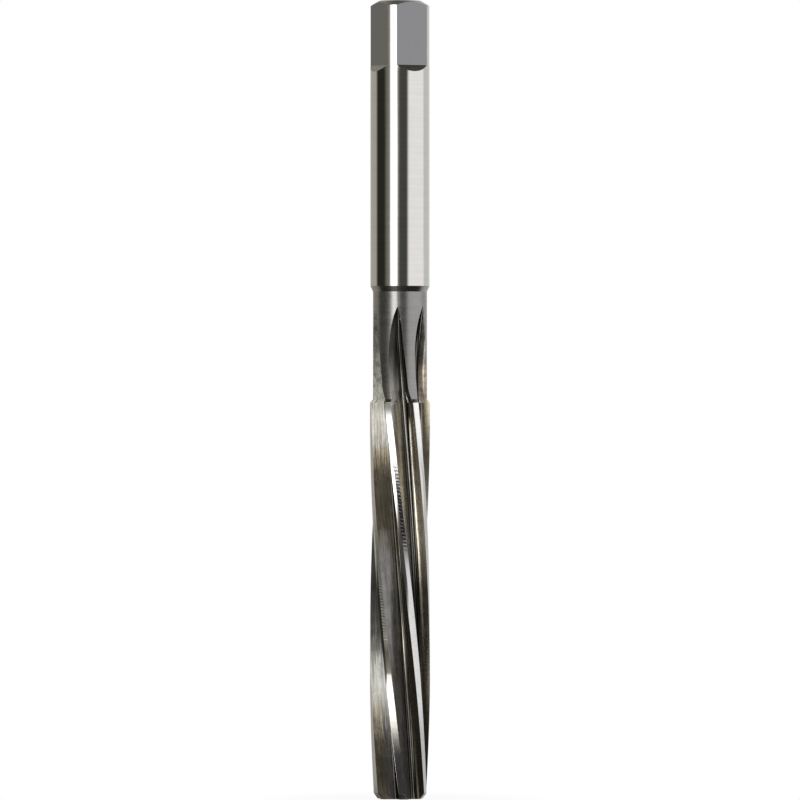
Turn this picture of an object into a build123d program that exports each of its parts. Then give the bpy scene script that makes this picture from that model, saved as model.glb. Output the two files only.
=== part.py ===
from build123d import *

import math
import os

# Hand reamer, ground from one bar of tool steel. Sizes in millimetres.
# The axis is Z. The reamer stands on the end face of its tip, at the origin, and the driving
# square is at the top. Angles round the axis are in degrees, measured from the front (-Y)
# towards the right (+X).

# Lengths along the axis
overall_length = 133.0
cutting_length = 66.0
back_bevel_length = 0.6
neck_length = 17.9
step_length = 0.95
square_length = 10.8

# Diameters
cutting_diameter = 10.0
shank_diameter = 9.86
neck_diameter = 9.0
square_across_flats = 8.0

# Tip
tip_bevel_length = 1.05
tip_bevel_angle = 45.0
taper_lead_length = 19.0
taper_lead_drop = 0.2

# Top end
end_face_diameter = 6.9
end_bevel_angle = 30.0
square_turn = 29.5
square_shoulder_angle = 45.0

# Centre holes, one in each end
centre_mouth_diameter = 3.35
centre_pilot_diameter = 1.6
centre_cone_angle = 60.0
centre_point_angle = 118.0
centre_depth = 3.4

# Teeth, in steps from one cutting edge to the next, the same on both halves
tooth_steps = [59.0 + 53.0 / 60.0, 58.0 + 2.0 / 60.0, 62.0 + 5.0 / 60.0] * 2
first_edge_turn = -92.3
helix_lead = 262.0
land_width = 1.15
margin_width = 0.4
relief_angle = 8.0

# Flutes. A grinding wheel leaves a wall, a rounded root and a flat back. A second pass grinds
# the rake face out of the wall and leaves a narrow ledge above the root. The root is made of
# flat facets that stay within a few hundredths of its arc.
root_radius = 0.54
root_facets = 4
root_centre_outward = 3.25
root_centre_sideways = -1.06
wall_start_angle = 85.0
rake_foot = 3.2

# Run-out of the flutes: the wheel rises on its own radius and its corner comes out last
runout_start = 69.9
runout_radius = 38.8
rake_pass_start = 65.0
rake_pass_end = 69.0
wall_foot_outward = 3.9
wall_foot_sideways = -0.45
wall_lean = 0.2
corner_start = 76.0
corner_end = 82.0
corner_radius = 0.12
corner_centre_outward = 2.68
corner_centre_sideways = -0.69

# How far a cutting shape reaches past what it cuts, and the spacing of its sections
air = 2.0
section_pitch = 5.5
runout_pitch = 2.0

# Sizes that follow
cutting_radius = cutting_diameter / 2
shank_radius = shank_diameter / 2
neck_radius = neck_diameter / 2
end_face_radius = end_face_diameter / 2
square_half_width = square_across_flats / 2
neck_start = cutting_length + back_bevel_length
shank_start = neck_start + neck_length + step_length
tip_radius = cutting_radius - taper_lead_drop
tip_face_radius = tip_radius - tip_bevel_length * math.tan(math.radians(tip_bevel_angle))
end_bevel_height = (shank_radius - end_face_radius) * math.tan(math.radians(end_bevel_angle))
land_angle = math.degrees(land_width / cutting_radius)
margin_angle = math.degrees(margin_width / cutting_radius)


def edge_turn(tooth_turn, height):
    """Turn of a cutting edge at a height, where tooth_turn is its turn at the back of the teeth."""
    return tooth_turn + 360.0 * (cutting_length - height) / helix_lead


def land_radius(height):
    """Radius of the cutting edges at a height, which falls along the taper lead."""
    if height >= taper_lead_length:
        return cutting_radius
    return tip_radius + taper_lead_drop * height / taper_lead_length


def runout_lift(height):
    """How far the flute has risen from its full depth at a height."""
    return max(height - runout_start, 0.0) ** 2 / (2 * runout_radius)


def polar(radius, angle):
    """A point of the flute's section: first outward, then sideways, at an angle from the rake face."""
    turn = math.radians(angle)
    return (radius * math.cos(turn), radius * math.sin(turn))


def blank():
    """The turned blank: bevelled tip, teeth, neck, shank and bevelled end."""
    outline = [
        (0, 0),
        (tip_face_radius, 0),
        (tip_radius, tip_bevel_length),
        (cutting_radius, taper_lead_length),
        (cutting_radius, cutting_length),
        (neck_radius, neck_start),
        (neck_radius, neck_start + neck_length),
        (shank_radius, shank_start),
        (shank_radius, overall_length - end_bevel_height),
        (end_face_radius, overall_length),
        (0, overall_length),
    ]
    half_section = make_face(Plane.XZ * Polyline(outline, close=True))
    return revolve(half_section, Axis.Z)


def between(first, second, share):
    """The value at a share of the way from first to second."""
    return first + (second - first) * share


def smooth_share(height, low, high):
    """Share that rises smoothly from 0 at the height low to 1 at the height high."""
    share = min(max((height - low) / (high - low), 0.0), 1.0)
    return share * share * (3 - 2 * share)


def heel_and_margin(step, height):
    """Heel and margin's end of the land before a flute, as places of the flute's section."""
    radius = land_radius(height)
    relief_foot = radius * math.cos(math.radians(relief_angle))
    heel_radius = relief_foot / math.cos(math.radians(relief_angle - land_angle + margin_angle))
    return polar(heel_radius, land_angle - step), polar(radius, margin_angle - step)


def root_points(heel, height):
    """Corners of the root's facets, on an arc that ends tangent to the flat back."""
    out = smooth_share(height, corner_start, corner_end)
    radius = between(root_radius, corner_radius, out)
    centre = (
        between(root_centre_outward, corner_centre_outward, out),
        between(root_centre_sideways, corner_centre_sideways, out),
    )
    to_heel = (heel[0] - centre[0], heel[1] - centre[1])
    bearing = math.atan2(to_heel[1], to_heel[0])
    start_normal = -math.radians(wall_start_angle)
    end_normal = bearing + math.acos(-radius / math.hypot(*to_heel))
    shares = [facet / root_facets for facet in range(root_facets + 1)]
    normals = [between(start_normal, end_normal, share) for share in shares]
    return [
        (centre[0] - radius * math.cos(normal), centre[1] - radius * math.sin(normal))
        for normal in normals
    ]


def flute_section(tooth_turn, step, height):
    """Face that one flute and the relief of the land before it take away at a height.

    The rake face is radial down to its foot, where a ledge leads to the rounded root. The
    flat back rises from the root to the heel of the land before. From there the section
    follows that land's flat relief to its margin.
    """
    lift = runout_lift(height)
    lean = smooth_share(height, rake_pass_start, rake_pass_end)
    heel, margin = heel_and_margin(step, height)
    clear = cutting_radius + air
    foot = (between(rake_foot, wall_foot_outward, lean), wall_foot_sideways * lean)
    top = (clear, foot[1] + (clear - foot[0]) * wall_lean * lean)
    beyond = (
        margin[0] + (margin[0] - heel[0]),
        margin[1] + (margin[1] - heel[1]),
    )
    mouth = polar(clear, margin_angle - step)
    corners = [top, foot, *root_points(heel, height), heel, beyond, mouth]
    outline = [(outward + lift, sideways) for outward, sideways in corners]
    turn = math.radians(edge_turn(tooth_turn, height))
    plane = Plane(origin=(0, 0, height), x_dir=(math.sin(turn), -math.cos(turn), 0), z_dir=(0, 0, 1))
    return plane * make_face(Polyline(outline, close=True))


def even_heights(low, high, pitch):
    """Heights from low to high, evenly spaced by about the pitch, without the last one."""
    count = math.ceil((high - low) / pitch)
    return [low + (high - low) * index / count for index in range(count)]


def flute(tooth_turn, step):
    """Solid that is ground out of the blank in front of one cutting edge."""
    heights = even_heights(-air, rake_pass_start, section_pitch)
    for low, high in zip(
        (rake_pass_start, rake_pass_end, corner_start),
        (rake_pass_end, corner_start, corner_end),
    ):
        heights += even_heights(low, high, runout_pitch)
    heights += [corner_end, corner_end + runout_pitch / 2]
    return loft([flute_section(tooth_turn, step, height) for height in heights])


def square_side(turn):
    """Block milled off the top end to leave one flat and its sloping shoulder."""
    flat_foot = overall_length - square_length
    depth = cutting_radius + air - square_half_width
    shoulder = depth / math.tan(math.radians(square_shoulder_angle))
    top = overall_length + air
    outline = [
        (square_half_width, top),
        (square_half_width, flat_foot),
        (square_half_width + depth, flat_foot - shoulder),
        (square_half_width + depth, top),
    ]
    side = make_face(Plane.XZ * Polyline(outline, close=True))
    block = extrude(side, cutting_radius + air, both=True)
    return Rot(0, 0, turn - 90) * block


def centre_hole():
    """Centre hole that opens downwards at the origin: a cone, then a drilled pilot."""
    mouth_radius = centre_mouth_diameter / 2
    pilot_radius = centre_pilot_diameter / 2
    slope = math.tan(math.radians(centre_cone_angle / 2))
    cone_depth = (mouth_radius - pilot_radius) / slope
    point_depth = pilot_radius / math.tan(math.radians(centre_point_angle / 2))
    outline = [
        (0, -air),
        (mouth_radius + air * slope, -air),
        (pilot_radius, cone_depth),
        (pilot_radius, centre_depth),
        (0, centre_depth + point_depth),
    ]
    half_section = make_face(Plane.XZ * Polyline(outline, close=True))
    return revolve(half_section, Axis.Z)


def reamer():
    """The finished reamer, one solid."""
    body = blank()
    edge = first_edge_turn
    for step in tooth_steps:
        edge += step
        body -= flute(edge, step)
    for side in range(4):
        body -= square_side(square_turn + 90 * side)
    body -= centre_hole()
    body -= Pos(0, 0, overall_length) * Rot(180, 0, 0) * centre_hole()
    return body


os.makedirs("parts", exist_ok=True)
export_step(reamer(), "parts/reamer.step")
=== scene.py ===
"""Hand reamer: the ground tool in a plain studio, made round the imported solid."""

import logging
import math
from dataclasses import dataclass, field, replace
from enum import Enum

import bpy
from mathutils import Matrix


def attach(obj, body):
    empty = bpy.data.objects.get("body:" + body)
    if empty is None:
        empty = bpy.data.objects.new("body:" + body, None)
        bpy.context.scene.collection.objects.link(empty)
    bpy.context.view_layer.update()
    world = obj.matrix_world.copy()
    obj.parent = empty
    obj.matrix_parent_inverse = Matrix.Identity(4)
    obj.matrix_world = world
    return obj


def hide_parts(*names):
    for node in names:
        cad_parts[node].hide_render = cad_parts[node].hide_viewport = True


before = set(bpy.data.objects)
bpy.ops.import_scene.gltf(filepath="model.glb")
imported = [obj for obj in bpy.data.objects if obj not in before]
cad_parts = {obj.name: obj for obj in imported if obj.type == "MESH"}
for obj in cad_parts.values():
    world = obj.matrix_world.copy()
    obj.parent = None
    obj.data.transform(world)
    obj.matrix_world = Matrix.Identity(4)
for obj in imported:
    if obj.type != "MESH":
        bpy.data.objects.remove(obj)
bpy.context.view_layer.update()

log = logging.getLogger("reamer")

MM = 0.001
MICROMETRE = 0.000001
WHITE = (1.0, 1.0, 1.0, 1.0)
BODY = "root"
NODE = "reamer"
SURFACE_MAP = "surface"
FOLLOW_ATTRIBUTE = "helix_follow"
ZONE_ATTRIBUTE = "zone"

# Heights in millimetres that lie well below and well above the tool.
LOWEST = -10.0
HIGHEST = 1000.0

# Steps from point to point round one tooth. The same counts hold at every height, so the rings
# of points join up, and where a part has no width its points coincide.
TEETH_IN_HALF = 3
LAND_STEPS = 16
RELIEF_STEPS = 4
BACK_STEPS = 8
BACK_FOOT_STEPS = 3
ROOT_STEPS = 9
# Steps of the root arc next to the flute's back that carry the near-black painted shade of the hollow.
SHADED_HOLLOW_STEPS = 4
LEDGE_STEPS = 2
FILLET_STEPS = 4
SCOOP_STEPS = 6
SCOOP_FOOT_STEPS = 1
RAKE_FOOT_STEPS = FILLET_STEPS + SCOOP_STEPS
RAKE_STEPS = 4
PROFILE_STEPS = RELIEF_STEPS + BACK_STEPS + ROOT_STEPS + LEDGE_STEPS + RAKE_FOOT_STEPS + RAKE_STEPS
TOOTH_STEPS = LAND_STEPS + PROFILE_STEPS

# Halvings of the line that finds where a section leaves the steel.
HALVINGS = 40

# Degrees from one flat of the square to the next.
SIDE_ANGLE = 90.0

# A place of a flute's section is outward and sideways. A point is its radius, its turn in
# degrees from the front towards the right and its height. A band is where something starts to
# rise, is full, starts to fall and has gone.
Place = tuple[float, float]
Point = tuple[float, float, float]
Colour = tuple[float, float, float]
Band = tuple[float, float, float, float]


class Zone(Enum):
    """Surfaces of the reamer that were ground or turned in their own way, and parts that carry painted
    shade or a painted reflection.
    """

    SHANK = 0
    NECK = 1
    BEVEL = 2
    FLAT = 3
    END_FACE = 4
    CENTRE = 5
    MARGIN = 6
    RELIEF = 7
    FLUTE = 8
    RAKE = 9
    ROOT = 10
    SHADED_HOLLOW = 11
    BRIGHT_FLUTE = 12
    CHATTERED = 13
    FILLET = 14
    DARKER_FLUTE = 15
    PALE_RUNOUT = 16
    DARK_RUNOUT = 17
    CREAM_REFLECTION_RUNOUT = 18
    DULL_LAND = 19
    SHADED_ROOT = 20


@dataclass
class Ring:
    """One ring of points round half of the tool, tooth by tooth, and the zones of the strip above it.

    It follows the helix where follow is 1.
    """

    teeth: list[list[Point]]
    zones: list[list[Zone]]
    follow: float = 0.0

    def across(self, tooth: int) -> list[float]:
        """How far round a tooth's points lie, for the surface map.

        Args:
            tooth: The tooth.

        Returns:
            The way to each point along the surface, from 0.
        """
        points = self.teeth[tooth]
        made = [0.0]
        for before, after in zip(points, points[1:]):
            sideways = math.radians(after[1] - before[1]) * (after[0] + before[0]) / 2
            made.append(made[-1] + math.hypot(after[0] - before[0], sideways))
        return made


def spread(low: float, high: float, count: int) -> list[float]:
    """The count + 1 evenly spaced values from low to high."""
    return [low + (high - low) * index / count for index in range(count + 1)]


def mix(first: float, second: float, share: float) -> float:
    """The value that lies at a share of the way from first to second."""
    return first + (second - first) * share


def mix_place(first: Place, second: Place, share: float) -> Place:
    """The place at a share of the way from first to second."""
    return mix(first[0], second[0], share), mix(first[1], second[1], share)


def at(radius: float, angle: float) -> Place:
    """The place at a radius and an angle in degrees."""
    return radius * math.cos(math.radians(angle)), radius * math.sin(math.radians(angle))


def polar(place: Place) -> tuple[float, float]:
    """Radius and angle in degrees of a place."""
    return math.hypot(*place), math.degrees(math.atan2(place[1], place[0]))


def straight(first: Point, last: Point, share: float) -> Point:
    """The point at a share of the way along the straight line from first to last."""
    place = mix_place(at(*first[:2]), at(*last[:2]), share)
    return *polar(place), mix(first[2], last[2], share)


def all_over(zone: Zone) -> list[list[Zone]]:
    """The zones of a strip that is all of one zone."""
    return [[zone] * TOOTH_STEPS] * TEETH_IN_HALF


def ease(share: float) -> float:
    """A share from 0 to 1, with a smooth start and end."""
    return share * share * (3 - 2 * share)


def smooth_share(value: float, low: float, high: float) -> float:
    """Share that rises smoothly from 0 at low to 1 at high."""
    return ease(min(max((value - low) / (high - low), 0.0), 1.0))


def placed(name: str, data: bpy.types.ID) -> bpy.types.Object:
    """A new object in the scene.

    Args:
        name: Its name.
        data: Its mesh or camera.

    Returns:
        The object, at the origin.
    """
    made = bpy.data.objects.new(name, data)
    bpy.context.scene.collection.objects.link(made)
    return made


@dataclass
class CuttingPart:
    """The teeth of half of the tool, from the tip to where their flutes rise out of the neck.

    Lengths are in millimetres and angles in degrees. A tooth is its land and the flute after it.
    """

    length: float = 66.0
    radius: float = 4.9985
    tip_radius: float = 4.7985
    tip_bevel: float = 1.05
    lead_length: float = 19.0
    back_bevel: float = 0.6
    neck_radius: float = 4.5
    neck_end: float = 84.5
    helix_lead: float = 262.0
    steps: tuple[float, ...] = (59.0 + 53.0 / 60.0, 58.0 + 2.0 / 60.0, 62.0 + 5.0 / 60.0)
    first_turn: float = -92.3
    land_width: float = 1.15
    margin_width: float = 0.48
    margin_at_back: float = 0.12
    margin_heights: Band = (18.0, 22.0, 54.0, 57.0)
    least_margin: float = 0.02
    relief_slope: float = 12.6
    root_radius: float = 0.54
    root_centres: tuple[Place, ...] = ((3.14, -0.82), (3.29, -1.06), (2.96, -0.76))
    wall_start_angle: float = 85.0
    fillet_radius: float = 0.25
    fillet_centre: Place = (3.44, -0.25)
    fillet_angles: tuple[float, float] = (-62.0, -8.0)
    scoop_radius: float = 1.4
    hook_angle: float = 8.0
    relief_zones: tuple[Zone, ...] = (Zone.DULL_LAND, Zone.CHATTERED, Zone.RELIEF)
    back_zones: tuple[Zone, ...] = (Zone.FLUTE, Zone.BRIGHT_FLUTE, Zone.DARKER_FLUTE)
    root_zones: tuple[Zone, ...] = (Zone.ROOT, Zone.SHADED_ROOT, Zone.SHADED_ROOT)
    runout_zones: tuple[Zone, ...] = (Zone.PALE_RUNOUT, Zone.DARK_RUNOUT, Zone.DARK_RUNOUT)
    runout_rake_zones: tuple[Zone, ...] = (Zone.PALE_RUNOUT, Zone.DARK_RUNOUT, Zone.CREAM_REFLECTION_RUNOUT)
    runout_start: float = 69.9
    runout_radius: float = 38.8
    rake_pass: tuple[float, float] = (65.8, 68.6)
    wall_foot: Place = (3.9, -0.45)
    wall_lean: float = 0.15
    corner_heights: tuple[float, float] = (76.0, 82.0)
    close_heights: tuple[float, float] = (77.0, 82.4)
    corner_radius: float = 0.12
    corner_centre: Place = (2.68, -0.69)

    def twist(self, height: float) -> float:
        """Turn of the helix at a height, in degrees, counted from the back of the teeth."""
        return 360.0 * (self.length - height) / self.helix_lead

    def land_radius(self, height: float) -> float:
        """Radius of the cutting edges at a height."""
        lead = mix(self.tip_radius, self.radius, height / self.lead_length)
        return lead if height < self.lead_length else self.radius

    def blank_radius(self, height: float) -> float:
        """The turned blank's size.

        Args:
            height: Height from the tip, up to the end of the neck.

        Returns:
            Its radius there.
        """
        if height < self.tip_bevel:
            bevelled = self.land_radius(self.tip_bevel)
            return mix(self.tip_radius - self.tip_bevel, bevelled, height / self.tip_bevel)
        if height <= self.length:
            return self.land_radius(height)
        share = min((height - self.length) / self.back_bevel, 1.0)
        return mix(self.radius, self.neck_radius, share)

    @staticmethod
    def arc(centre: Place, radius: float, start: float, end: float, count: int) -> list[Place]:
        """Hollow arc of the flute's section.

        Args:
            centre: Outward and sideways place of its centre.
            radius: Its radius.
            start: Direction in radians of the surface's normal where it starts.
            end: Direction of the normal where it ends.
            count: Number of steps.

        Returns:
            Its count + 1 places.
        """
        return [
            (centre[0] - radius * math.cos(normal), centre[1] - radius * math.sin(normal))
            for normal in spread(start, end, count)
        ]

    def margin(self, height: float) -> float:
        """Width of the round margin, which the taper lead doesn't have.

        Args:
            height: Height of the section.

        Returns:
            Its angle in degrees.
        """
        low, full, narrowing, narrow = self.margin_heights
        width = self.margin_width * smooth_share(height, low, full)
        width = mix(width, self.margin_at_back, smooth_share(height, narrowing, narrow))
        return math.degrees(max(width, self.least_margin) / self.radius)

    def root(self, centre: Place, heel: Place, height: float) -> list[Place]:
        """The root's arc, from the wall to where the flat back leaves it.

        Args:
            centre: Its centre along the teeth.
            heel: The heel of the land before.
            height: Height of the section.

        Returns:
            Its places.
        """
        out = smooth_share(height, *self.corner_heights)
        radius = mix(self.root_radius, self.corner_radius, out)
        centre = mix_place(centre, self.corner_centre, out)
        rise, run = heel[0] - centre[0], heel[1] - centre[1]
        end = math.atan2(run, rise) + math.acos(-radius / math.hypot(rise, run))
        return self.arc(centre, radius, -math.radians(self.wall_start_angle), end, ROOT_STEPS)

    def rake_foot(self) -> list[Place]:
        """The scooped lower part of the rake face and the fillet that leads to the ledge.

        Returns:
            Its places, inwards.
        """
        start, end = (math.radians(angle) for angle in self.fillet_angles)
        fillet = self.arc(self.fillet_centre, self.fillet_radius, start, end, FILLET_STEPS)
        reach = self.scoop_radius
        centre = (fillet[0][0] + reach * math.cos(start), fillet[0][1] + reach * math.sin(start))
        scoop = self.arc(centre, reach, -math.radians(90.0 + self.hook_angle), start, SCOOP_STEPS)
        return scoop + fillet[1:]

    def profile(self, step: float, root_centre: Place, height: float) -> list[Place]:
        """The flute's section from the margin's end round to the top of the rake face.

        Args:
            step: Angle in degrees from the cutting edge before to this one.
            root_centre: Centre of the root's arc.
            height: Height of the section.

        Returns:
            Outward and sideways places, seen from the cutting edge's own radius.
        """
        radius = self.land_radius(height)
        lift = max(height - self.runout_start, 0.0) ** 2 / (2 * self.runout_radius)
        land = math.degrees(self.land_width / self.radius)
        margin = self.margin(height)
        foot = radius * math.cos(math.radians(self.relief_slope - margin))
        heel_radius = foot / math.cos(math.radians(self.relief_slope - land))
        heel = at(heel_radius, land - step)
        shoulder = at(radius, margin - step)
        root = self.root(root_centre, heel, height)
        rake_foot = self.rake_foot()
        ledge = self.line(rake_foot[-1], root[0], LEDGE_STEPS)[1:-1]
        edge = (radius + lift, 0.0)
        rake = self.line(edge, rake_foot[0], RAKE_STEPS)[:-1]
        top = (edge[0], self.wall_foot[1] + (edge[0] - self.wall_foot[0]) * self.wall_lean)
        wall = self.line(top, self.wall_foot, RAKE_STEPS)[:-1]
        wall += self.line(self.wall_foot, root[0], RAKE_FOOT_STEPS + LEDGE_STEPS)[:-1]
        lean = smooth_share(height, *self.rake_pass)
        front = [mix_place(*pair, lean) for pair in zip(rake + rake_foot + ledge, wall)]
        back = self.line(root[-1], heel, BACK_STEPS)[1:]
        relief = self.line(heel, shoulder, RELIEF_STEPS)[1:]
        section = [(outward + lift, sideways) for outward, sideways in front + root + back + relief]
        return section[::-1]

    @staticmethod
    def line(first: Place, last: Place, count: int) -> list[Place]:
        """The count + 1 places of a straight line."""
        return [mix_place(first, last, share) for share in spread(0.0, 1.0, count)]

    def clipped(self, section: list[Place], blank: float) -> list[Place]:
        """The section with every point outside the blank drawn back to where it enters the steel.

        Args:
            section: Outward and sideways places.
            blank: Radius of the blank at that height.

        Returns:
            Radius and turn in degrees of each point.
        """
        made = [polar(place) for place in section]
        deepest = made.index(min(made))
        if made[deepest][0] >= blank:
            return [(blank, made[deepest][1])] * len(made)
        for indices in (range(deepest, -1, -1), range(deepest, len(made))):
            inside = deepest
            crossing = None
            for index in indices:
                if crossing is None and made[index][0] > blank:
                    crossing = self.entry(section[inside], section[index], blank)
                if crossing is not None:
                    made[index] = crossing
                inside = index
        return made

    @staticmethod
    def entry(inner: Place, outer: Place, blank: float) -> Place:
        """Where the line from an inner to an outer point crosses the blank.

        Args:
            inner: Place inside the blank.
            outer: Place outside the blank.
            blank: Radius of the blank.

        Returns:
            Radius and turn in degrees of the crossing.
        """
        low, high = 0.0, 1.0
        for _ in range(HALVINGS):
            middle = (low + high) / 2
            place = mix_place(inner, outer, middle)
            if math.hypot(*place) > blank:
                high = middle
            else:
                low = middle
        return blank, polar(place)[1]

    def ring(self, height: float) -> Ring:
        """The ring of points at a height.

        Args:
            height: The height.

        Returns:
            The ring, not yet turned by the helix.
        """
        blank = self.blank_radius(height)
        sections = [
            self.clipped(self.profile(step, centre, height), blank)
            for step, centre in zip(self.steps, self.root_centres)
        ]
        teeth = []
        turn = self.first_turn
        start = sections[0][-1][1]
        for step, section in zip(self.steps, sections):
            edge = turn + step
            land = spread(turn + start, edge + section[0][1], LAND_STEPS)
            points = [(blank, angle, height) for angle in land]
            points += [(radius, edge + angle, height) for radius, angle in section[1:]]
            teeth.append(points)
            turn = edge
        return Ring(teeth, self.zones(height), 1.0)

    def zones(self, height: float) -> list[list[Zone]]:
        """The zones of the strip above a height.

        Args:
            height: The height.

        Returns:
            The zone of each step round, tooth by tooth.
        """
        risen = height >= self.length
        ground = self.tip_bevel <= height < self.length
        if ground:
            land = Zone.MARGIN
        elif height < self.length + self.back_bevel:
            land = Zone.BEVEL
        else:
            land = Zone.NECK
        made = []
        for tooth in range(TEETH_IN_HALF):
            back = self.runout_zones[tooth] if risen else self.back_zones[tooth]
            rake = self.runout_rake_zones[tooth] if risen else Zone.RAKE
            made.append(
                [land] * LAND_STEPS
                + [self.relief_zones[tooth] if ground else land] * RELIEF_STEPS
                + [back] * (BACK_STEPS - BACK_FOOT_STEPS)
                + [back if risen else Zone.FLUTE] * BACK_FOOT_STEPS
                # Painted shade: the near-black hollow beside the root and on the ledge.
                + [Zone.SHADED_HOLLOW] * SHADED_HOLLOW_STEPS
                + [self.root_zones[tooth]] * (ROOT_STEPS - SHADED_HOLLOW_STEPS)
                + [Zone.SHADED_HOLLOW] * LEDGE_STEPS
                + [rake if risen else Zone.FILLET] * (FILLET_STEPS + SCOOP_FOOT_STEPS)
                + [rake] * (SCOOP_STEPS - SCOOP_FOOT_STEPS + RAKE_STEPS)
            )
        return made

    def heights(self) -> list[float]:
        """Heights of the rings, closer together where the shape changes fast.

        Returns:
            The heights, upwards.
        """
        start, full, narrowing, _ = self.margin_heights
        # Each stretch is its top and its number of rings.
        stretches = (
            (self.tip_bevel, 5),
            (start, 28),
            (full, 8),
            (narrowing, 50),
            (self.rake_pass[0], 20),
            (self.length, 2),
            (self.length + self.back_bevel, 6),
            (self.close_heights[0], 44),
            (self.close_heights[1], 44),
            (self.neck_end, 3),
        )
        made = []
        low = 0.0
        for high, count in stretches:
            made += spread(low, high, count)[:-1]
            low = high
        return made + [low]

    def rings(self) -> list[Ring]:
        """The rings from the tip's face to the end of the neck."""
        return [self.ring(height) for height in self.heights()]


@dataclass(frozen=True)
class Column:
    """One column of points up the square: its turn, and its sideways place where it has a flat."""

    turn: float
    lateral: float | None = None


@dataclass
class DriveEnd:
    """The step, the round shank and the driving square, up to the rim of the end face.

    The rings start as the neck's lands lie, and even out into the square's columns up the shank.
    """

    start: float = 84.5
    step_length: float = 0.95
    radius: float = 4.93
    half_width: float = 4.0
    flat_foot: float = 122.2
    overall: float = 133.0
    face_radius: float = 3.45
    bevel_angle: float = 30.0
    square_turn: float = 29.5
    shoulder_steepness: float = 1.15
    even_end: float = 119.0
    step_rings: int = 3
    shank_rings: int = 24
    corner_steps: int = 4
    flat_steps: int = 16

    def cone_height(self, radius: float) -> float:
        """Height of the end bevel at a radius."""
        return self.overall - (radius - self.face_radius) * math.tan(math.radians(self.bevel_angle))

    def columns(self) -> list[Column]:
        """The columns of points that go up half of the square.

        Returns:
            The columns, from the front left round to the right.
        """
        corner = math.degrees(math.acos(self.half_width / self.radius))
        reach = self.radius * math.sin(math.radians(corner))
        made: list[Column] = []
        for side in (-1, 0):
            normal = self.square_turn + SIDE_ANGLE * side
            arc = spread(normal - SIDE_ANGLE / 2, normal - corner, self.corner_steps)
            made += [Column(turn) for turn in arc[:-1]]
            for place in spread(-reach, reach, self.flat_steps):
                made.append(Column(normal + math.degrees(math.asin(place / self.radius)), place))
            arc = spread(normal + corner, normal + SIDE_ANGLE / 2, self.corner_steps)
            made += [Column(turn) for turn in arc[1:]]
            if side == -1:
                made.pop()
        return made

    def ring(self, points: list[Point], zones: list[Zone]) -> Ring:
        """A ring whose columns are shared out over the teeth. A tooth's flute has no width here.

        Args:
            points: The point of each column.
            zones: The zone of the strip above it, for each step round.

        Returns:
            The ring.
        """
        teeth, own = [], []
        for first in range(0, TEETH_IN_HALF * LAND_STEPS, LAND_STEPS):
            land = points[first : first + LAND_STEPS + 1]
            teeth.append(land + [land[-1]] * PROFILE_STEPS)
            own.append(zones[first : first + LAND_STEPS] + [zones[first]] * PROFILE_STEPS)
        return Ring(teeth, own)

    def rings(self, neck: Ring, twist: float) -> list[Ring]:
        """The rings from the foot of the step to the rim of the end face.

        Args:
            neck: The last ring of the neck.
            twist: The helix's turn at that ring.

        Returns:
            The rings, bottom to top.
        """
        start = [point[1] + twist for tooth in neck.teeth for point in tooth[:LAND_STEPS]]
        start.append(neck.teeth[-1][LAND_STEPS][1] + twist)
        columns = self.columns()
        neck_radius = neck.teeth[0][0][0]
        step_end = self.start + self.step_length
        made = []
        for share in spread(0.0, 1.0, self.step_rings)[1:]:
            radius = mix(neck_radius, self.radius, share)
            height = mix(self.start, step_end, share)
            zone = Zone.BEVEL if share < 1.0 else Zone.SHANK
            made.append(self.ring([(radius, turn, height) for turn in start], [zone] * len(start)))
        for share in spread(0.0, 1.0, self.shank_rings)[1:]:
            height = mix(step_end, self.even_end, share)
            turns = [mix(turn, column.turn, ease(share)) for turn, column in zip(start, columns)]
            points = [(self.radius, turn, height) for turn in turns]
            made.append(self.ring(points, [Zone.SHANK] * len(points)))
        return made + self.square_rings(columns)

    def square_rings(self, columns: list[Column]) -> list[Ring]:
        """The rings of the square, from the round shank below its shoulders to the end face.

        Args:
            columns: The columns of points round half of it.

        Returns:
            The rings, bottom to top.
        """
        # Each stage is its number of rings and the zones of the flats and the corners.
        stages = (
            (3, Zone.SHANK, Zone.SHANK),
            (3, Zone.BEVEL, Zone.SHANK),
            (8, Zone.FLAT, Zone.SHANK),
            (3, Zone.BEVEL, Zone.BEVEL),
        )
        above = [stage[1:] for stage in stages[1:]] + [(Zone.END_FACE, Zone.END_FACE)]
        flat = [None not in (one.lateral, other.lateral) for one, other in zip(columns, columns[1:])]
        stops = list(zip(*(self.stops(column) for column in columns)))
        made = []
        for low, high, (count, *own), following in zip(stops, stops[1:], stages, above):
            for share in spread(0.0, 1.0, count)[1:]:
                on_flat, on_corner = own if share < 1.0 else following
                zones = [on_flat if level else on_corner for level in flat]
                made.append(self.ring([straight(*ends, share) for ends in zip(low, high)], zones))
        return made

    def stops(self, column: Column) -> list[Point]:
        """The points between which a column is straight.

        Args:
            column: The column.

        Returns:
            Its point on the even shank, and its points at the foot and the top of the shoulder
            and of the end bevel.
        """
        radius, turn, foot = self.radius, column.turn, self.flat_foot
        if column.lateral is not None:
            radius = math.hypot(self.half_width, column.lateral)
            turn -= math.degrees(math.asin(column.lateral / self.radius))
            turn += math.degrees(math.atan2(column.lateral, self.half_width))
            depth = math.sqrt(self.radius**2 - column.lateral**2)
            foot += (self.half_width - depth) * self.shoulder_steepness
        made = [(self.radius, column.turn, height) for height in (self.even_end, foot)]
        made += [(radius, turn, height) for height in (self.flat_foot, self.cone_height(radius))]
        return made + [(self.face_radius, turn, self.overall)]


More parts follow.
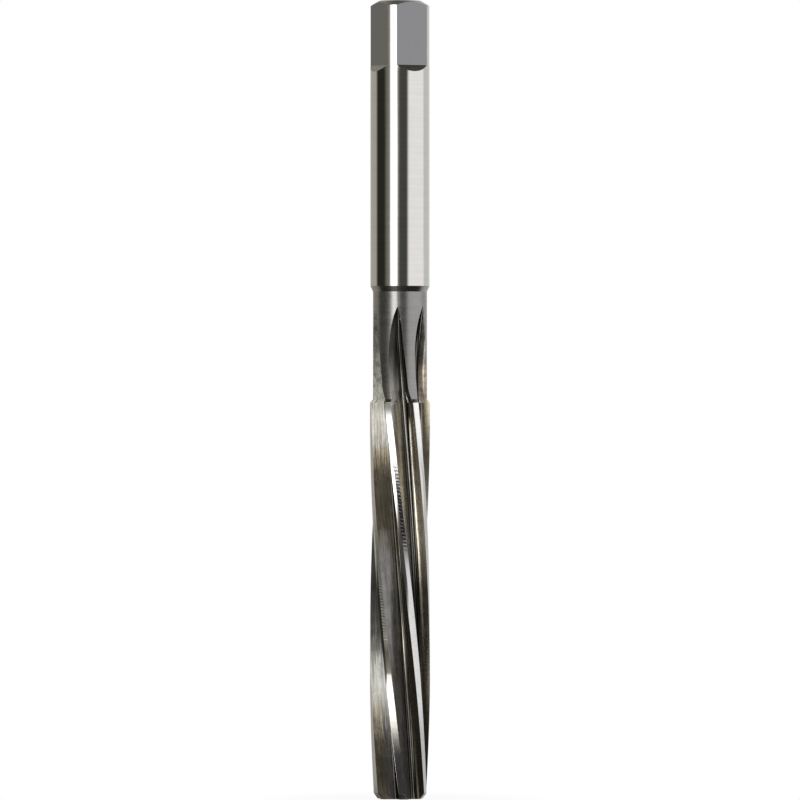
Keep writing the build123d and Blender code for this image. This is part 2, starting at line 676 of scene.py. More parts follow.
@dataclass
class CentreHole:
    """A centre hole: a 60 degree cone with a drilled pilot behind it."""

    mouth_radius: float = 1.675
    pilot_radius: float = 0.8
    cone_angle: float = 60.0
    point_angle: float = 118.0
    depth: float = 3.4

    def rings(self, rim: Ring, end_height: float, inward: float) -> list[Ring]:
        """The rings of an end face and its centre hole, from the rim to the axis.

        Args:
            rim: The ring round the end face.
            end_height: Height of the end face.
            inward: 1 where the hole goes up into the steel, -1 where it goes down.

        Returns:
            The rings after the rim, each with the zones of the strip towards the axis.
        """
        cone = (self.mouth_radius - self.pilot_radius) / math.tan(math.radians(self.cone_angle / 2))
        point = self.pilot_radius / math.tan(math.radians(self.point_angle / 2))
        # Each stop is its radius, its depth and the number of rings on the way to it.
        stops = (
            (self.mouth_radius, 0.0, 5),
            (self.pilot_radius, cone, 3),
            (self.pilot_radius, self.depth, 2),
            (0.0, self.depth + point, 2),
        )
        made = []
        before = [[(radius, turn, end_height) for radius, turn, _ in tooth] for tooth in rim.teeth]
        for radius, depth, count in stops:
            height = end_height + inward * depth
            for share in spread(0.0, 1.0, count)[1:]:
                teeth = [
                    [(mix(p[0], radius, share), p[1], mix(p[2], height, share)) for p in tooth]
                    for tooth in before
                ]
                on_face = depth == 0.0 and share < 1.0
                made.append(Ring(teeth, all_over(Zone.END_FACE if on_face else Zone.CENTRE)))
            before = teeth
        return made


@dataclass(frozen=True)
class Socket:
    """A value in a node tree that can be used in Python sums: its bench and its node's output."""

    bench: "Bench"
    port: bpy.types.NodeSocket | None

    def join(self, operation: str, *values: object) -> "Socket":
        """A Math node on values or sockets."""
        return self.bench.node("ShaderNodeMath", {"operation": operation}, dict(enumerate(values)))

    def __add__(self, other: object) -> "Socket":
        """Sum."""
        return self.join("ADD", self, other)

    __radd__ = __add__

    def __sub__(self, other: object) -> "Socket":
        """Difference."""
        return self.join("SUBTRACT", self, other)

    def __rsub__(self, other: object) -> "Socket":
        """Difference with a number on the left."""
        return self.join("SUBTRACT", other, self)

    def __mul__(self, other: object) -> "Socket":
        """Product."""
        return self.join("MULTIPLY", self, other)

    __rmul__ = __mul__

    def __truediv__(self, other: object) -> "Socket":
        """Quotient."""
        return self.join("DIVIDE", self, other)

    def __rtruediv__(self, other: object) -> "Socket":
        """Quotient with a number on the left."""
        return self.join("DIVIDE", other, self)

    def sine(self) -> "Socket":
        """Sine of an angle in radians."""
        return self.join("SINE", self)

    def smooth(self, low: float, high: float) -> "Socket":
        """Rises smoothly from 0 at low to 1 at high."""
        values = {"Value": self, "From Min": low, "From Max": high}
        return self.bench.node("ShaderNodeMapRange", {"interpolation_type": "SMOOTHSTEP"}, values)

    def band(self, foot: float, low: float, high: float, top: float) -> "Socket":
        """Rises smoothly from 0 at foot to 1 at low, and falls from 1 at high to 0 at top."""
        return self.smooth(foot, low) * (1.0 - self.smooth(high, top))


class Bench:
    """Makes the nodes of one tree."""

    # The colour sockets of a Mix node, by number, because its other sockets have the same names.
    FACTOR, FIRST, SECOND, MIXED = 0, 6, 7, 2

    def __init__(self, tree: bpy.types.NodeTree) -> None:
        """Clears the tree."""
        self.tree = tree
        tree.nodes.clear()

    @classmethod
    def of(cls, owner: bpy.types.Material | bpy.types.World) -> "Bench":
        """A bench for the nodes of a material or a world."""
        owner.use_nodes = True
        return cls(owner.node_tree)

    def node(
        self, kind: str, settings: dict | None = None, values: dict | None = None, output: str | int = 0
    ) -> Socket:
        """Makes a node.

        Args:
            kind: The node's type.
            settings: Its settings, set first.
            values: Numbers, colours or sockets for its inputs, by name or index.
            output: The output to hand on, by name or index.

        Returns:
            The node's output.
        """
        made = self.tree.nodes.new(kind)
        for name, value in (settings or {}).items():
            setattr(made, name, value)
        for name, value in (values or {}).items():
            if isinstance(value, Socket):
                self.tree.links.new(value.port, made.inputs[name])
            else:
                made.inputs[name].default_value = value
        return Socket(self, made.outputs[output] if len(made.outputs) else None)

    def mix_colour(self, share: object, first: object, second: object, blend: str = "MIX") -> Socket:
        """A colour between two others, each a socket or a plain colour."""
        values = {self.FACTOR: share, self.FIRST: self.opaque(first), self.SECOND: self.opaque(second)}
        return self.node("ShaderNodeMix", {"data_type": "RGBA", "blend_type": blend}, values, self.MIXED)

    @staticmethod
    def opaque(colour: object) -> object:
        """A plain colour with its alpha, or a socket as it is."""
        return colour if isinstance(colour, Socket) else (*colour, 1.0)

    def noise(self, vector: Socket, scale: float, detail: float = 2.0, roughness: float = 0.5) -> Socket:
        """A noise value about 0.5."""
        values = {"Vector": vector, "Scale": scale, "Detail": detail, "Roughness": roughness}
        return self.node("ShaderNodeTexNoise", {"noise_dimensions": "3D"}, values)

    def vector(self, operation: str, values: dict, output: str | int = 0) -> Socket:
        """A Vector Math node."""
        return self.node("ShaderNodeVectorMath", {"operation": operation}, values, output)

    def part(self, vector: Socket, axis: str) -> Socket:
        """One part of a vector."""
        return self.node("ShaderNodeSeparateXYZ", {}, {0: vector}, axis)

    def stretched(self, vector: Socket, factors: Point) -> Socket:
        """A vector with each axis multiplied by a factor."""
        return self.vector("MULTIPLY", {0: vector, 1: factors})

    def solid(self) -> Socket:
        """The place on the object's own coordinates, in metres."""
        return self.node("ShaderNodeTexCoord", output="Object")

    def height(self) -> Socket:
        """The height on the object, in millimetres."""
        return self.part(self.solid(), "Z") / MM

    def surface(self) -> Socket:
        """The place on the surface map, in millimetres: across the lands, then along the tool."""
        return self.node("ShaderNodeUVMap", {"uv_map": SURFACE_MAP})


class Lay(Enum):
    """Direction of the marks that a tool left, and the map that they follow."""

    ROUND = "marks round the axis, on the object's own coordinates"
    UPRIGHT = "marks along the axis, on the object's own coordinates"
    SPIRAL = "marks along the flutes, on the surface map"
    CROSSWISE = "marks across the lands, on the surface map"


@dataclass(frozen=True)
class Marks:
    """Parallel marks: their lay, width and length in millimetres, depth in micrometres, and grain."""

    lay: Lay
    width: float
    length: float
    depth: float
    grain: float = 0.6

    def place(self, bench: Bench) -> Socket:
        """The place that the marks follow.

        Args:
            bench: The material's bench.

        Returns:
            The place, counted in widths and lengths of the marks.
        """
        wide, long = 1.0 / self.width, 1.0 / self.length
        if self.lay is Lay.SPIRAL:
            return bench.stretched(bench.surface(), (wide, long, 0.0))
        if self.lay is Lay.CROSSWISE:
            return bench.stretched(bench.surface(), (long, wide, 0.0))
        around, along = (long, wide) if self.lay is Lay.ROUND else (wide, long)
        return bench.stretched(bench.solid(), (around / MM, around / MM, along / MM))

    def noise(self, bench: Bench, detail: float) -> Socket:
        """Noise of about 0.5 that is drawn out along the marks."""
        return bench.noise(self.place(bench), 1.0, detail, self.grain)


@dataclass(frozen=True)
class Chatter:
    """Ripples across the work between two heights: their pitch, shade, depth and gloss.

    They slant, wobble and come in patches. Sizes are in millimetres, scales are for each
    millimetre and the depth is in micrometres.
    """

    pitch: float
    low: float
    high: float
    shade: float
    depth: float
    gloss: float
    slant: float = 0.3
    wobble: float = 6.0
    wobble_scale: Point = (0.8, 0.5, 0.0)
    wobble_detail: float = 3.0
    patch_scale: Point = (1.2, 0.5, 0.0)
    patch_edges: tuple[float, float] = (0.35, 0.55)
    fade: float = 1.0

    def height(self, bench: Bench) -> Socket:
        """The ripples, about 0, and 0 where the surface has none.

        Args:
            bench: The material's bench.

        Returns:
            Their height in depths.
        """
        surface = bench.surface()
        wobble = bench.noise(bench.stretched(surface, self.wobble_scale), 1.0, self.wobble_detail)
        patches = bench.noise(bench.stretched(surface, self.patch_scale), 1.0)
        turns = bench.part(surface, "Y") / self.pitch + bench.part(surface, "X") * self.slant
        ripple = (turns * math.tau + wobble * self.wobble).sine() * patches.smooth(*self.patch_edges)
        low, high, fade = self.low, self.high, self.fade
        return ripple * bench.height().band(low - fade, low + fade, high - fade, high + fade)


@dataclass(frozen=True)
class HeightShade:
    """Painted shade that darkens and tints the steel at some heights, in millimetres, dimming its
    highlights and reflections there.

    The steel is shaded below the first height and above the last, and clear between the second
    and the third. A painted shade inside does the opposite.
    """

    heights: Band
    tint: Colour
    inside: bool = False

    def over(self, bench: Bench, colour: Socket) -> Socket:
        """The painted shade on the steel.

        Args:
            bench: The material's bench.
            colour: The steel's own colour.

        Returns:
            The colour with the film on it.
        """
        band = bench.height().band(*self.heights)
        clear = 1.0 - band if self.inside else band
        tinted = bench.mix_colour(1.0, colour, self.tint, "MULTIPLY")
        return bench.mix_colour(clear, tinted, colour)


def below(full: float, clear: float, tint: Colour) -> HeightShade:
    """Painted shade on all that lies lower than a height, clear from a second one up."""
    return HeightShade((full, clear, HIGHEST, HIGHEST + 1.0), tint)


def above(clear: float, full: float, tint: Colour) -> HeightShade:
    """Painted shade on all that lies higher than a second height, clear up to the first."""
    return HeightShade((LOWEST - 1.0, LOWEST, clear, full), tint)


@dataclass(frozen=True)
class GroundFinish:
    """A ground steel surface: fine and coarse parallel marks, soft clouding, ripples and painted shade by
    height.

    The shade goes from the tint to the colour with the marks and clouds. Coarse marks are given
    in times the fine ones, the clouds' size is in millimetres, and details are of the noise.
    """

    name: str
    marks: Marks
    colour: Colour = (0.60, 0.59, 0.57)
    tint: Colour = (0.52, 0.50, 0.46)
    roughness: float = 0.2
    roughness_spread: float = 0.08
    metallic: float = 1.0
    coarse_width: float = 4.0
    coarse_length: float = 1.6
    coarse_depth: float = 2.0
    cloud_size: float = 2.0
    cloud_grain: float = 0.65
    details: tuple[float, float, float] = (3.0, 2.0, 5.0)
    shares: tuple[float, float, float] = (0.4, 0.35, 0.35)
    shade_edges: tuple[float, float] = (0.39, 0.71)
    chatter: Chatter | None = None
    height_shades: tuple[HeightShade, ...] = ()

    def material(self) -> bpy.types.Material:
        """Builds the material.

        Returns:
            The material, ready for a slot.
        """
        made = bpy.data.materials.new(self.name)
        bench = Bench.of(made)
        marks = self.marks
        width, length = marks.width * self.coarse_width, marks.length * self.coarse_length
        fine_detail, coarse_detail, cloud_detail = self.details
        fine = marks.noise(bench, fine_detail)
        coarse = replace(marks, width=width, length=length).noise(bench, coarse_detail)
        clouds = bench.noise(bench.solid(), 1.0 / (self.cloud_size * MM), cloud_detail, self.cloud_grain)
        fine_share, coarse_share, cloud_share = self.shares
        shade = fine * fine_share + coarse * coarse_share + clouds * cloud_share
        colour = bench.mix_colour(shade.smooth(*self.shade_edges), self.tint, self.colour)
        roughness = self.roughness + (coarse + clouds - 1.0) * self.roughness_spread
        height = fine * marks.depth + coarse * (marks.depth * self.coarse_depth)
        if self.chatter:
            ripple = self.chatter.height(bench)
            height = height + ripple * self.chatter.depth
            roughness = roughness + ripple * self.chatter.gloss
            colour = bench.vector("SCALE", {0: colour, "Scale": 1.0 + ripple * self.chatter.shade})
        # Painted shade by height: each band darkens and tints the colour where the steel's highlights and
        # reflections are dimmed.
        for height_shade in self.height_shades:
            colour = height_shade.over(bench, colour)
        bump = {"Strength": 1.0, "Distance": MICROMETRE, "Height": height}
        values = {
            "Base Color": colour,
            "Metallic": self.metallic,
            "Roughness": roughness,
            "Normal": bench.node("ShaderNodeBump", {}, bump),
        }
        shader = bench.node("ShaderNodeBsdfPrincipled", {}, values)
        bench.node("ShaderNodeOutputMaterial", {}, {"Surface": shader})
        return made


ACROSS_LAND = Marks(Lay.CROSSWISE, 0.2, 1.2, 1.5)
ALONG_FLUTE = Marks(Lay.SPIRAL, 0.16, 5.0, 14.0)
ALONG_ROOT = Marks(Lay.SPIRAL, 0.14, 5.0, 4.0)

FINISHES: dict[Zone, GroundFinish] = {
    Zone.SHANK: GroundFinish(
        "polished_shank",
        Marks(Lay.ROUND, 0.12, 9.0, 0.35),
        tint=(0.56, 0.545, 0.52),
        roughness=0.1,
        roughness_spread=0.03,
    ),
    Zone.NECK: GroundFinish(
        "satin_neck",
        Marks(Lay.ROUND, 0.15, 6.0, 1.6),
        colour=(0.28, 0.274, 0.27),
        tint=(0.235, 0.226, 0.212),
        roughness=0.28,
        metallic=0.88,
    ),
    Zone.BEVEL: GroundFinish(
        "turned_bevel",
        Marks(Lay.ROUND, 0.12, 5.0, 1.5),
        colour=(0.36, 0.35, 0.33),
        tint=(0.3, 0.29, 0.27),
        roughness=0.28,
    ),
    Zone.FLAT: GroundFinish(
        "ground_flat",
        Marks(Lay.UPRIGHT, 0.2, 4.0, 1.5),
        colour=(0.257, 0.258, 0.265),
        tint=(0.242, 0.242, 0.247),
        roughness=0.38,
        roughness_spread=0.06,
    ),
    Zone.END_FACE: GroundFinish("end_face", Marks(Lay.ROUND, 0.15, 3.0, 2.0), roughness=0.3),
    Zone.CENTRE: GroundFinish("centre_hole", Marks(Lay.ROUND, 0.12, 3.0, 2.0), roughness=0.3),
    Zone.MARGIN: GroundFinish(
        "round_margin", Marks(Lay.CROSSWISE, 0.2, 2.0, 1.0), roughness=0.12, roughness_spread=0.05
    ),
    Zone.RELIEF: GroundFinish(
        "relieved_land",
        ACROSS_LAND,
        colour=(0.78, 0.78, 0.77),
        tint=(0.7, 0.7, 0.68),
        height_shades=(below(55.0, 63.0, (0.74, 0.74, 0.75)),),
    ),
    Zone.CHATTERED: GroundFinish(
        "chattered_land",
        ACROSS_LAND,
        colour=(0.58, 0.58, 0.58),
        tint=(0.5, 0.5, 0.49),
        chatter=Chatter(0.6, 42.0, 55.0, 0.8, 8.0, 0.08),
        height_shades=(
            above(63.2, 65.2, (0.38, 0.38, 0.36)),
            HeightShade((42.2, 44.2, 49.0, 53.0), (0.5, 0.5, 0.48), inside=True),
        ),
    ),
    Zone.DULL_LAND: GroundFinish(
        "dull_land",
        Marks(Lay.CROSSWISE, 0.2, 1.2, 3.0),
        colour=(0.56, 0.54, 0.5),
        tint=(0.46, 0.44, 0.4),
        roughness=0.24,
        metallic=0.75,
        chatter=Chatter(0.5, 26.0, 36.0, 0.35, 4.0, 0.06),
        height_shades=(
            HeightShade((20.6, 21.2, 24.0, 27.0), (0.3, 0.28, 0.24), inside=True),
            below(7.0, 12.5, (0.2, 0.2, 0.21)),
        ),
    ),
    Zone.FLUTE: GroundFinish(
        "ground_flute",
        ALONG_FLUTE,
        colour=(0.3, 0.29, 0.268),
        tint=(0.13, 0.122, 0.1),
        roughness_spread=0.12,
        metallic=0.78,
        height_shades=(
            HeightShade((40.0, 46.0, 57.0, 60.0), (1.0, 0.9, 0.74), inside=True),
            below(40.0, 47.0, (0.77, 0.78, 0.82)),
        ),
    ),
    # Brighter than the other flutes' finish, and much darker below 31 to 37 mm.
    Zone.BRIGHT_FLUTE: GroundFinish(
        "ground_flute_bright",
        Marks(Lay.SPIRAL, 0.16, 5.0, 9.0),
        colour=(0.5, 0.478, 0.445),
        tint=(0.26, 0.243, 0.215),
        roughness=0.22,
        roughness_spread=0.1,
        metallic=0.85,
        height_shades=(
            below(31.0, 37.0, (0.12, 0.11, 0.1)),
            HeightShade((40.0, 46.0, 57.0, 63.0), (0.72, 0.72, 0.7), inside=True),
        ),
    ),
    # Darker than the other flutes' finish, and warmer below 12 to 19 mm.
    Zone.DARKER_FLUTE: GroundFinish(
        "darker_flute",
        ALONG_FLUTE,
        colour=(0.255, 0.255, 0.238),
        tint=(0.11, 0.108, 0.09),
        roughness_spread=0.12,
        metallic=0.78,
        height_shades=(below(12.0, 19.0, (1.0, 0.88, 0.74)),),
    ),
    Zone.PALE_RUNOUT: GroundFinish(
        "pale_runout",
        Marks(Lay.SPIRAL, 0.2, 0.9, 9.0),
        colour=(0.62, 0.62, 0.56),
        tint=(0.24, 0.235, 0.2),
        roughness=0.28,
        roughness_spread=0.12,
        metallic=0.8,
        height_shades=(below(67.0, 74.0, (0.5, 0.5, 0.5)),),
    ),
    Zone.DARK_RUNOUT: GroundFinish(
        "dark_runout",
        Marks(Lay.SPIRAL, 0.2, 3.0, 9.0),
        colour=(0.3, 0.29, 0.275),
        tint=(0.17, 0.163, 0.15),
        roughness=0.22,
        height_shades=(above(67.0, 75.0, (0.18, 0.18, 0.175)),),
    ),
    # A painted cream reflection on one run-out's rake side, darker above 71 to 73 mm.
    Zone.CREAM_REFLECTION_RUNOUT: GroundFinish(
        "runout_painted_reflection",
        Marks(Lay.SPIRAL, 0.3, 0.5, 9.0),
        colour=(0.85, 0.7, 0.56),
        tint=(0.3, 0.25, 0.2),
        roughness=0.32,
        roughness_spread=0.1,
        metallic=0.6,
        height_shades=(above(71.0, 73.0, (0.35, 0.4, 0.42)),),
    ),
    Zone.ROOT: GroundFinish(
        "flute_root",
        ALONG_ROOT,
        colour=(0.46, 0.44, 0.39),
        tint=(0.28, 0.26, 0.21),
        roughness=0.15,
        height_shades=(below(19.0, 29.0, (0.16, 0.16, 0.15)),),
    ),
    # Painted shade: a dark root for two of the flutes, darker still below 33 to 44 mm.
    Zone.SHADED_ROOT: GroundFinish(
        "flute_root_painted_shade",
        ALONG_ROOT,
        colour=(0.17, 0.168, 0.155),
        tint=(0.11, 0.107, 0.096),
        roughness=0.15,
        height_shades=(below(33.0, 44.0, (0.12, 0.12, 0.11)),),
    ),
    # Painted shade takes the fillet's highlight away below 36 to 49 mm and above 61.5 to 64 mm.
    Zone.FILLET: GroundFinish(
        "rake_fillet",
        Marks(Lay.SPIRAL, 0.14, 3.0, 5.0),
        colour=(0.58, 0.54, 0.47),
        tint=(0.4, 0.37, 0.3),
        roughness=0.17,
        height_shades=(HeightShade((36.0, 49.0, 61.5, 64.0), (0.03, 0.03, 0.026)),),
    ),
    # Near-black painted shade in the flute's hollow, beside the root and on the ledge.
    Zone.SHADED_HOLLOW: GroundFinish(
        "flute_hollow_painted_shade",
        ALONG_ROOT,
        colour=(0.07, 0.066, 0.058),
        tint=(0.03, 0.028, 0.023),
        roughness=0.16,
        roughness_spread=0.06,
    ),
    Zone.RAKE: GroundFinish(
        "rake_face",
        Marks(Lay.SPIRAL, 0.16, 0.8, 6.0),
        colour=(0.82, 0.75, 0.6),
        tint=(0.58, 0.52, 0.41),
        roughness=0.28,
        roughness_spread=0.16,
        metallic=0.86,
        height_shades=(
            below(34.0, 46.0, (0.145, 0.137, 0.13)),
            above(50.0, 57.0, (0.55, 0.53, 0.51)),
            below(2.0, 14.0, (0.5, 0.5, 0.5)),
        ),
    ),
}


class HelixTree:
    """Node tree that turns the strip along the helix, repeats it round the axis and dresses it."""

    INPUTS = {
        "Geometry": "NodeSocketGeometry",
        "Lead": "NodeSocketFloat",
        "Back of Teeth": "NodeSocketFloat",
        "Copies": "NodeSocketInt",
        "Weld": "NodeSocketFloat",
    }
    # The whole number inputs of a Compare node.
    COMPARED, WITH = 2, 3

    def __init__(self, materials: dict[Zone, bpy.types.Material]) -> None:
        """Builds the tree and keeps the identifier of each input.

        Args:
            materials: The finish of each zone.
        """
        self.tree = bpy.data.node_groups.new("helix_halves", "GeometryNodeTree")
        face = self.tree.interface
        face.new_socket("Geometry", in_out="OUTPUT", socket_type="NodeSocketGeometry")
        self.names = {
            name: face.new_socket(name, in_out="INPUT", socket_type=kind).identifier
            for name, kind in self.INPUTS.items()
        }
        self.bench = Bench(self.tree)
        self.dress(self.halves(), materials)

    def given(self, name: str) -> Socket:
        """One of the tree's inputs."""
        return self.bench.node("NodeGroupInput", output=name)

    def attribute(self, name: str, kind: str) -> Socket:
        """An attribute of the strip."""
        values = {"Name": name}
        return self.bench.node("GeometryNodeInputNamedAttribute", {"data_type": kind}, values, "Attribute")

    def halves(self) -> Socket:
        """The strip, turned along the helix, repeated and welded.

        Returns:
            The closed shape.
        """
        bench = self.bench
        position = bench.node("GeometryNodeInputPosition")
        turns = (self.given("Back of Teeth") - bench.part(position, "Z")) / self.given("Lead")
        angle = turns * math.tau * self.attribute(FOLLOW_ATTRIBUTE, "FLOAT")
        values = {"Vector": position, "Angle": angle}
        turned = bench.node("ShaderNodeVectorRotate", {"rotation_type": "Z_AXIS"}, values)
        values = {"Geometry": self.given("Geometry"), "Position": turned}
        strip = bench.node("GeometryNodeSetPosition", {}, values)
        points = bench.node("GeometryNodePoints", {}, {"Count": self.given("Copies")})
        turn = bench.node("GeometryNodeInputIndex") * (math.tau / self.given("Copies"))
        spin = bench.node("ShaderNodeCombineXYZ", {}, {"Z": turn})
        values = {"Points": points, "Instance": strip, "Rotation": spin}
        copies = bench.node("GeometryNodeInstanceOnPoints", {}, values)
        realised = bench.node("GeometryNodeRealizeInstances", {}, {"Geometry": copies})
        values = {"Geometry": realised, "Distance": self.given("Weld")}
        return bench.node("GeometryNodeMergeByDistance", {}, values)

    def dress(self, shape: Socket, materials: dict[Zone, bpy.types.Material]) -> None:
        """Sets the material of each zone and ends the tree.

        Args:
            shape: The closed shape.
            materials: The finish of each zone.
        """
        zone = self.attribute(ZONE_ATTRIBUTE, "INT")
        equal = {"data_type": "INT", "operation": "EQUAL"}
        for kind, material in materials.items():
            values = {self.COMPARED: zone, self.WITH: kind.value}
            same = self.bench.node("FunctionNodeCompare", equal, values)
            values = {"Geometry": shape, "Selection": same, "Material": material}
            shape = self.bench.node("GeometryNodeSetMaterial", {}, values)
        self.bench.node("NodeGroupOutput", {}, {"Geometry": shape})


@dataclass
class Reamer:
    """The whole tool: one closed mesh, dressed zone by zone."""

    cutting: CuttingPart = field(default_factory=CuttingPart)
    drive: DriveEnd = field(default_factory=DriveEnd)
    centre: CentreHole = field(default_factory=CentreHole)
    halves: int = 2
    map_gap: float = 40.0
    crease_angle: float = 24.0
    weld: float = 0.0008

    def all_rings(self) -> list[Ring]:
        """The rings over the outside, from the axis in one centre hole to the axis in the other.

        Returns:
            The rings, from the tip to the end face.
        """
        cutting = self.cutting.rings()
        neck = cutting[-1]
        neck.zones = all_over(Zone.BEVEL)
        drive = self.drive.rings(neck, self.cutting.twist(self.cutting.neck_end))
        inward = self.centre.rings(cutting[0], 0.0, 1.0)
        zones = [all_over(Zone.END_FACE)] + [ring.zones for ring in inward]
        bottom = [Ring(ring.teeth, own, 1.0) for ring, own in zip(inward, zones)]
        top = self.centre.rings(drive[-1], self.drive.overall, -1.0)
        return bottom[::-1] + cutting + drive + top

    def strip(self) -> bpy.types.Object:
        """The untwisted half of the tool, with its zones and its surface map.

        Returns:
            The strip, as a mesh object.
        """
        rings = self.all_rings()
        points, follow, faces, zones, places = [], [], [], [], []
        width = TEETH_IN_HALF * (TOOTH_STEPS + 1)
        for ring in rings:
            follow += [ring.follow] * width
            for radius, turn, height in (point for tooth in ring.teeth for point in tooth):
                angle = math.radians(turn)
                place = (radius * math.sin(angle), -radius * math.cos(angle), height)
                points.append(tuple(part * MM for part in place))
        middle = LAND_STEPS // 2
        run = 0.0
        for number, (ring, after) in enumerate(zip(rings, rings[1:])):
            low, high = ring.teeth[0][middle], after.teeth[0][middle]
            end = run + math.hypot(high[2] - low[2], high[0] - low[0])
            for tooth in range(TEETH_IN_HALF):
                base = number * width + tooth * (TOOTH_STEPS + 1)
                gap = self.map_gap * tooth
                lower, upper = ([place + gap for place in one.across(tooth)] for one in (ring, after))
                for step in range(TOOTH_STEPS):
                    corner = base + step
                    faces.append((corner, corner + 1, corner + width + 1, corner + width))
                    zones.append(ring.zones[tooth][step].value)
                    places += [(lower[step], run), (lower[step + 1], run)]
                    places += [(upper[step + 1], end), (upper[step], end)]
            run = end
        mesh = bpy.data.meshes.new("reamer_half")
        mesh.from_pydata(points, [], faces)
        layer = mesh.uv_layers.new(name=SURFACE_MAP)
        layer.data.foreach_set("uv", [value for place in places for value in place])
        for name, kind, domain, values in (
            (FOLLOW_ATTRIBUTE, "FLOAT", "POINT", follow),
            (ZONE_ATTRIBUTE, "INT", "FACE", zones),
        ):
            mesh.attributes.new(name, kind, domain).data.foreach_set("value", values)
        return placed("reamer_half", mesh)

    def build(self) -> bpy.types.Object:
        """Turns the strip into the closed, dressed tool.

        Returns:
            The finished piece.
        """
        half = self.strip()
        helix = HelixTree({zone: finish.material() for zone, finish in FINISHES.items()})
        modifier = half.modifiers.new("helix", "NODES")
        modifier.node_group = helix.tree
        sizes = {
            "Lead": self.cutting.helix_lead * MM,
            "Back of Teeth": self.cutting.length * MM,
            "Copies": self.halves,
            "Weld": self.weld * MM,
        }
        for name, size in sizes.items():
            modifier[helix.names[name]] = size
        graph = bpy.context.evaluated_depsgraph_get()
        mesh = bpy.data.meshes.new_from_object(half.evaluated_get(graph), depsgraph=graph)
        half.modifiers.remove(modifier)
        bpy.data.objects.remove(half)
        mesh.name = "hand_reamer"
        self.shade(mesh)
        piece = placed("hand_reamer", mesh)
        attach(piece, BODY)
        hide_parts(NODE)
        return piece

    def shade(self, mesh: bpy.types.Mesh) -> None:
        """Smooth shading with sharp edges at creases and between zones.

        Args:
            mesh: The tool's mesh.
        """
        mesh.shade_smooth()
        mesh.set_sharp_from_angle(angle=math.radians(self.crease_angle))
        owners: dict[tuple[int, int], int] = {}
        crossing = set()
        for polygon in mesh.polygons:
            for key in polygon.edge_keys:
                if owners.setdefault(key, polygon.material_index) != polygon.material_index:
                    crossing.add(key)
        sharp = mesh.attributes.get("sharp_edge") or mesh.attributes.new("sharp_edge", "BOOLEAN", "EDGE")
        for edge in mesh.edges:
            if edge.key in crossing:
                sharp.data[edge.index].value = True


@dataclass(frozen=True)
class Card:
    """A soft reflecting card of the studio, far away, by its direction from the tool in degrees."""

    turn: float
    half_width: float
    softness: float
    level: float
    tint: Colour = (1.0, 1.0, 1.0)
    low: float = -35.0
    high: float = 35.0


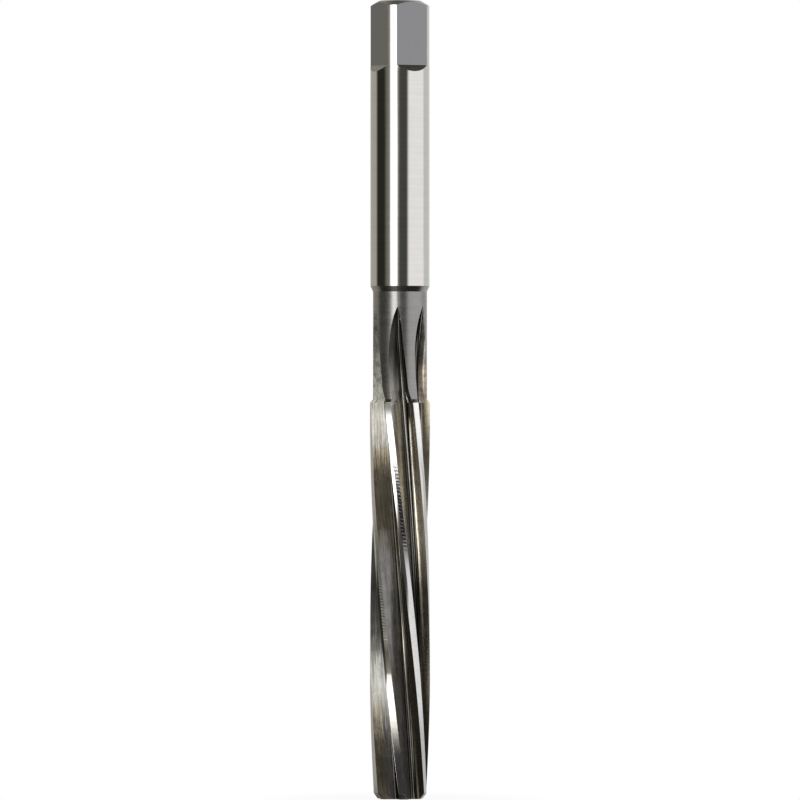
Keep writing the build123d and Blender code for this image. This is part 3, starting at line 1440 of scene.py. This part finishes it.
@dataclass
class Studio:
    """The plain studio: pale floor, soft light and the camera.

    The steel reflects dark surroundings with a low ring of light and soft cards. The floor and
    its shadow are in metres, and its clearance in millimetres, as are the camera's heights.
    """

    lens: float = 400.0
    sensor: float = 36.0
    frame_height: float = 133.38
    eye_height: float = 66.46
    floor_radius: float = 1.2
    floor_sides: int = 96
    floor_clearance: float = 0.01
    paper: float = 0.8
    shadow_radii: tuple[float, float] = (0.009, 0.03)
    shadow_glow: float = 0.94
    dark: Colour = (0.033, 0.032, 0.027)
    ring: Colour = (0.42, 0.41, 0.39)
    ring_angles: Band = (-77.0, -70.0, -65.0, -57.0)
    card_edge: float = 8.0
    cards: tuple[Card, ...] = (
        Card(-28.0, 25.0, 26.0, 0.3, (1.0, 0.96, 0.82)),
        Card(12.0, 13.0, 10.0, 0.085),
        Card(-24.0, 9.0, 18.0, 3.0),
        Card(-24.0, 6.0, 8.0, 4.2),
        Card(71.2, 39.8, 14.0, 1.27, (1.0, 0.995, 1.01), low=-14.0),
        Card(-142.5, 39.0, 14.0, 0.56, (1.0, 0.95, 0.84), high=52.0),
        Card(143.5, 37.5, 14.0, 0.82, high=52.0),
    )

    def build(self) -> list[bpy.types.Object]:
        """Makes the floor, the light and the camera, and hands on the objects."""
        self.make_light()
        return [self.make_floor(), self.make_camera()]

    def make_floor(self) -> bpy.types.Object:
        """A pale round floor under the tip, a little darker close to it.

        Returns:
            The floor.
        """
        turns = spread(0.0, math.tau, self.floor_sides)[:-1]
        rim = [(self.floor_radius * math.cos(turn), self.floor_radius * math.sin(turn)) for turn in turns]
        points = [(*place, -self.floor_clearance * MM) for place in [(0.0, 0.0), *rim]]
        faces = [(0, side + 1, (side + 1) % len(rim) + 1) for side in range(len(rim))]
        mesh = bpy.data.meshes.new("floor")
        mesh.from_pydata(points, [], faces)
        floor = placed("floor", mesh)
        made = bpy.data.materials.new("pale_floor")
        bench = Bench.of(made)
        grey = (self.paper, self.paper, self.paper, 1.0)
        paper = bench.node("ShaderNodeBsdfDiffuse", {}, {"Color": grey})
        glow = bench.node("ShaderNodeEmission", {}, {"Color": WHITE, "Strength": 1.0})
        away = bench.vector("LENGTH", {0: bench.solid()}, "Value")
        white = self.shadow_glow + (1.0 - self.shadow_glow) * away.smooth(*self.shadow_radii)
        both = bench.node("ShaderNodeMixShader", {}, {0: white, 1: paper, 2: glow})
        bench.node("ShaderNodeOutputMaterial", {}, {"Surface": both})
        mesh.materials.append(made)
        floor.visible_glossy = False
        return floor

    def make_light(self) -> None:
        """The surroundings, as a world: white to the camera, and dark with soft cards to the steel."""
        world = bpy.data.worlds.new("studio")
        bpy.context.scene.world = world
        bench = Bench.of(world)
        toward = bench.node("ShaderNodeTexCoord", output="Generated")
        upward = bench.part(toward, "Z")
        level = bench.vector("NORMALIZE", {0: bench.stretched(toward, (1.0, 1.0, 0.0))})
        share = upward.band(*(math.sin(math.radians(angle)) for angle in self.ring_angles))
        colour = bench.mix_colour(share, self.dark, self.ring)
        soft = math.sin(math.radians(self.card_edge))
        for card in self.cards:
            angle = math.radians(card.turn)
            aim = (math.sin(angle), -math.cos(angle), 0.0)
            near = bench.vector("DOT_PRODUCT", {0: level, 1: aim}, "Value")
            outer = math.cos(math.radians(card.half_width + card.softness / 2))
            inner = math.cos(math.radians(max(card.half_width - card.softness / 2, 0.0)))
            low, high = math.sin(math.radians(card.low)), math.sin(math.radians(card.high))
            share = near.smooth(outer, inner)
            share = share * upward.band(low - soft, low + soft, high - soft, high + soft)
            colour = bench.mix_colour(share, colour, tuple(part * card.level for part in card.tint))
        lit = bench.node("ShaderNodeBackground", {}, {"Color": colour, "Strength": 1.0})
        white = bench.node("ShaderNodeBackground", {}, {"Color": WHITE, "Strength": 1.0})
        seen = bench.node("ShaderNodeLightPath", output="Is Camera Ray")
        both = bench.node("ShaderNodeMixShader", {}, {0: seen, 1: lit, 2: white})
        bench.node("ShaderNodeOutputWorld", {}, {"Surface": both})
        bpy.context.scene.view_settings.view_transform = "Standard"

    def make_camera(self) -> bpy.types.Object:
        """A long lens at the tool's middle height, square to its front.

        Returns:
            The camera.
        """
        data = bpy.data.cameras.new("camera")
        data.lens = self.lens
        data.sensor_width = self.sensor
        camera = placed("camera", data)
        distance = self.frame_height * MM * self.lens / self.sensor
        camera.location = (0.0, -distance, self.eye_height * MM)
        camera.rotation_euler = (math.pi / 2, 0.0, 0.0)
        bpy.context.scene.camera = camera
        return camera


def main() -> None:
    """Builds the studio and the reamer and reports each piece."""
    logging.basicConfig(level=logging.INFO, format="%(message)s")
    for made in (*Studio().build(), Reamer().build()):
        log.info("%s: %s", made.type.lower(), made.name)


if __name__ == "__main__":
    main()
